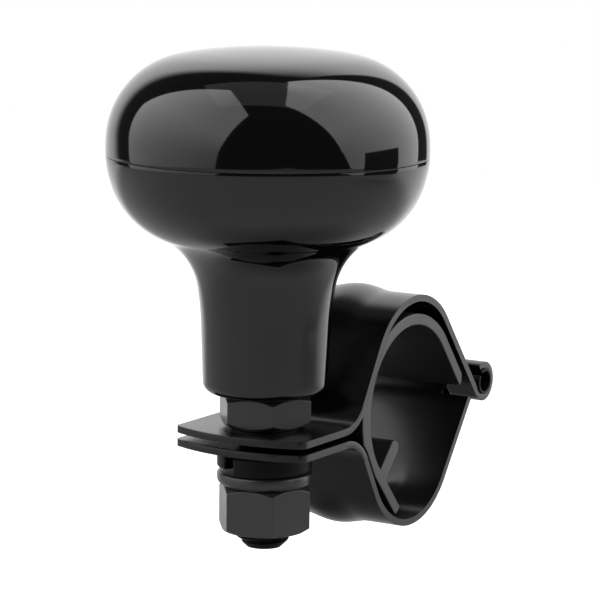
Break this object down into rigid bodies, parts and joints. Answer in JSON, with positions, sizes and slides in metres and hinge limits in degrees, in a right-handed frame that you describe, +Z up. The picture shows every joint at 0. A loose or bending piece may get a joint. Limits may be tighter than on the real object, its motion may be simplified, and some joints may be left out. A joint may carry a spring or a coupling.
{
  "type": "steering wheel spinner knob",
  "caption": "Black steering wheel spinner knob: a mushroom knob turning on ball bearings above a hinged, rubber-lined steel band clamp with a jam nut, washers and clamp nut.",
  "frame": {"origin": "centre of the wheel rim that the clamp takes, at the middle of the bands' width", "axes": "+Y along the rim (the band's width), +Z up along the stud to the knob's top, +X from the stud to the hinge"},
  "size_m": [0.0857, 0.0542, 0.0861],
  "materials": {
    "knob_black": "high gloss",
    "band_black": "semi-gloss powder coat",
    "nut_black": "satin black oxide",
    "spring_black": "dull black oxide",
    "washer_steel": "satin dark plating",
    "stud_steel": "satin black oxide",
    "pin_steel": "satin black oxide",
    "pad_rubber": "matte",
    "bearing_steel": "ground",
    "ball_chrome": "polished",
    "cage_brass": "satin"
  },
  "bodies": {
    "clamp_frame": {"upper_clamp": "band_black", "stud": "stud_steel", "jam_nut": "nut_black", "hinge_pin": "pin_steel", "rim_pad": "pad_rubber", "inner_sleeve": "bearing_steel", "thrust_washer": "washer_steel", "lock_nut": "nut_black", "lower_bearing_inner_ring": "bearing_steel", "upper_bearing_inner_ring": "bearing_steel"},
    "knob": {"knob_cap": "knob_black", "knob_body": "knob_black", "outer_sleeve": "bearing_steel", "bore_circlip": "spring_black", "lower_bearing_outer_ring": "bearing_steel", "upper_bearing_outer_ring": "bearing_steel"},
    "lower_ball_set": {"lower_bearing_balls": "ball_chrome", "lower_bearing_cage": "cage_brass"},
    "upper_ball_set": {"upper_bearing_balls": "ball_chrome", "upper_bearing_cage": "cage_brass"},
    "lower_band": {"lower_clamp": "band_black"},
    "washers": {"spring_washer": "spring_black", "plain_washer": "washer_steel"},
    "nut": {"clamp_nut": "nut_black"}
  },
  "joints": [
    {"name": "knob_spin", "type": "hinge", "parent": "clamp_frame", "child": "knob", "pos_m": [-0.0283, 0, 0.0185], "axis": [0, 0, 1], "continuous": true},
    {"name": "lower_balls_spin", "type": "hinge", "parent": "clamp_frame", "child": "lower_ball_set", "pos_m": [-0.0283, 0, 0.011], "axis": [0, 0, 1], "continuous": true},
    {"name": "upper_balls_spin", "type": "hinge", "parent": "clamp_frame", "child": "upper_ball_set", "pos_m": [-0.0283, 0, 0.026], "axis": [0, 0, 1], "continuous": true},
    {"name": "washer_travel", "type": "slide", "parent": "clamp_frame", "child": "washers", "axis": [0, 0, -1], "range_m": [0, 0.0024]},
    {"name": "nut_turn", "type": "hinge", "parent": "washers", "child": "nut", "pos_m": [-0.0283, 0, -0.0141], "axis": [0, 0, -1], "range_deg": [0, 545]},
    {"name": "clamp_opening", "type": "hinge", "parent": "clamp_frame", "child": "lower_band", "pos_m": [0.02674, 0, 0.0002], "axis": [0, -1, 0], "range_deg": [0, 2.2]}
  ],
  "couplings": [
    {"joint": "lower_balls_spin", "follows": "knob_spin", "ratio": 0.6},
    {"joint": "upper_balls_spin", "follows": "knob_spin", "ratio": 0.6},
    {"joint": "nut_turn", "follows": "washer_travel", "rad_per_m": 3957.9},
    {"joint": "clamp_opening", "follows": "washer_travel", "rad_per_m": 15.8}
  ]
}
